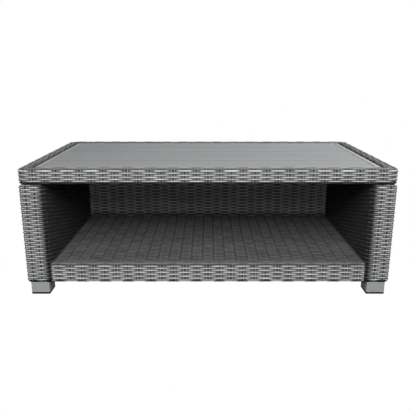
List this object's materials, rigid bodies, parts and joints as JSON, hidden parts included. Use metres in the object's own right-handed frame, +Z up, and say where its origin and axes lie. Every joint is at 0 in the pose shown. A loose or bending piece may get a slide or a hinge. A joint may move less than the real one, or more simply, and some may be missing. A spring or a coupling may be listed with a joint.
{
  "type": "wicker coffee table",
  "caption": "Rectangular outdoor coffee table: woven resin sides, back and shelf on aluminium frames, a slatted top in a woven rim, open storage in front, square metal feet.",
  "frame": {"origin": "on the floor under the middle of the table", "axes": "+X to the table's right as seen from its open front, +Y to its back, +Z up"},
  "size_m": [1, 0.55, 0.352],
  "materials": {
    "woven_resin": "satin grey resin strand with a fine rib and mixed light and dark tones",
    "frame_aluminium": "dark grey powder coat",
    "tray_aluminium": "satin grey",
    "slat_composite": "satin grey with a fine brushed grain along the slat",
    "foot_aluminium": "satin",
    "glide_plastic": "fine matt texture",
    "fastener_steel": "zinc plated",
    "plate_steel": "black powder coat"
  },
  "bodies": {
    "root": {"rim_weave_front": "woven_resin", "rim_weave_back": "woven_resin", "rim_weave_left": "woven_resin", "rim_weave_right": "woven_resin", "left_side_weave": "woven_resin", "right_side_weave": "woven_resin", "back_weave": "woven_resin", "shelf_weave": "woven_resin", "top_frame": "frame_aluminium", "bearer_left_end": "frame_aluminium", "bearer_left": "frame_aluminium", "bearer_right": "frame_aluminium", "bearer_right_end": "frame_aluminium", "left_side_frame": "frame_aluminium", "right_side_frame": "frame_aluminium", "back_frame": "frame_aluminium", "shelf_frame": "frame_aluminium", "tray_rail_front": "tray_aluminium", "tray_rail_back": "tray_aluminium", "tray_rail_left": "tray_aluminium", "tray_rail_right": "tray_aluminium", "tray_batten_left": "tray_aluminium", "tray_batten_right": "tray_aluminium", "slat_1": "slat_composite", "slat_2": "slat_composite", "slat_3": "slat_composite", "slat_4": "slat_composite", "slat_5": "slat_composite", "foot_front_left": "foot_aluminium", "foot_front_right": "foot_aluminium", "foot_back_left": "foot_aluminium", "foot_back_right": "foot_aluminium", "glide_front_left": "glide_plastic", "glide_front_right": "glide_plastic", "glide_back_left": "glide_plastic", "glide_back_right": "glide_plastic", "slat_screws": "fastener_steel", "tray_screws": "fastener_steel", "foot_bolts": "fastener_steel", "top_bolts": "fastener_steel", "plate_screws": "fastener_steel", "top_spacers": "glide_plastic", "joining_plates": "plate_steel"}
  },
  "joints": []
}
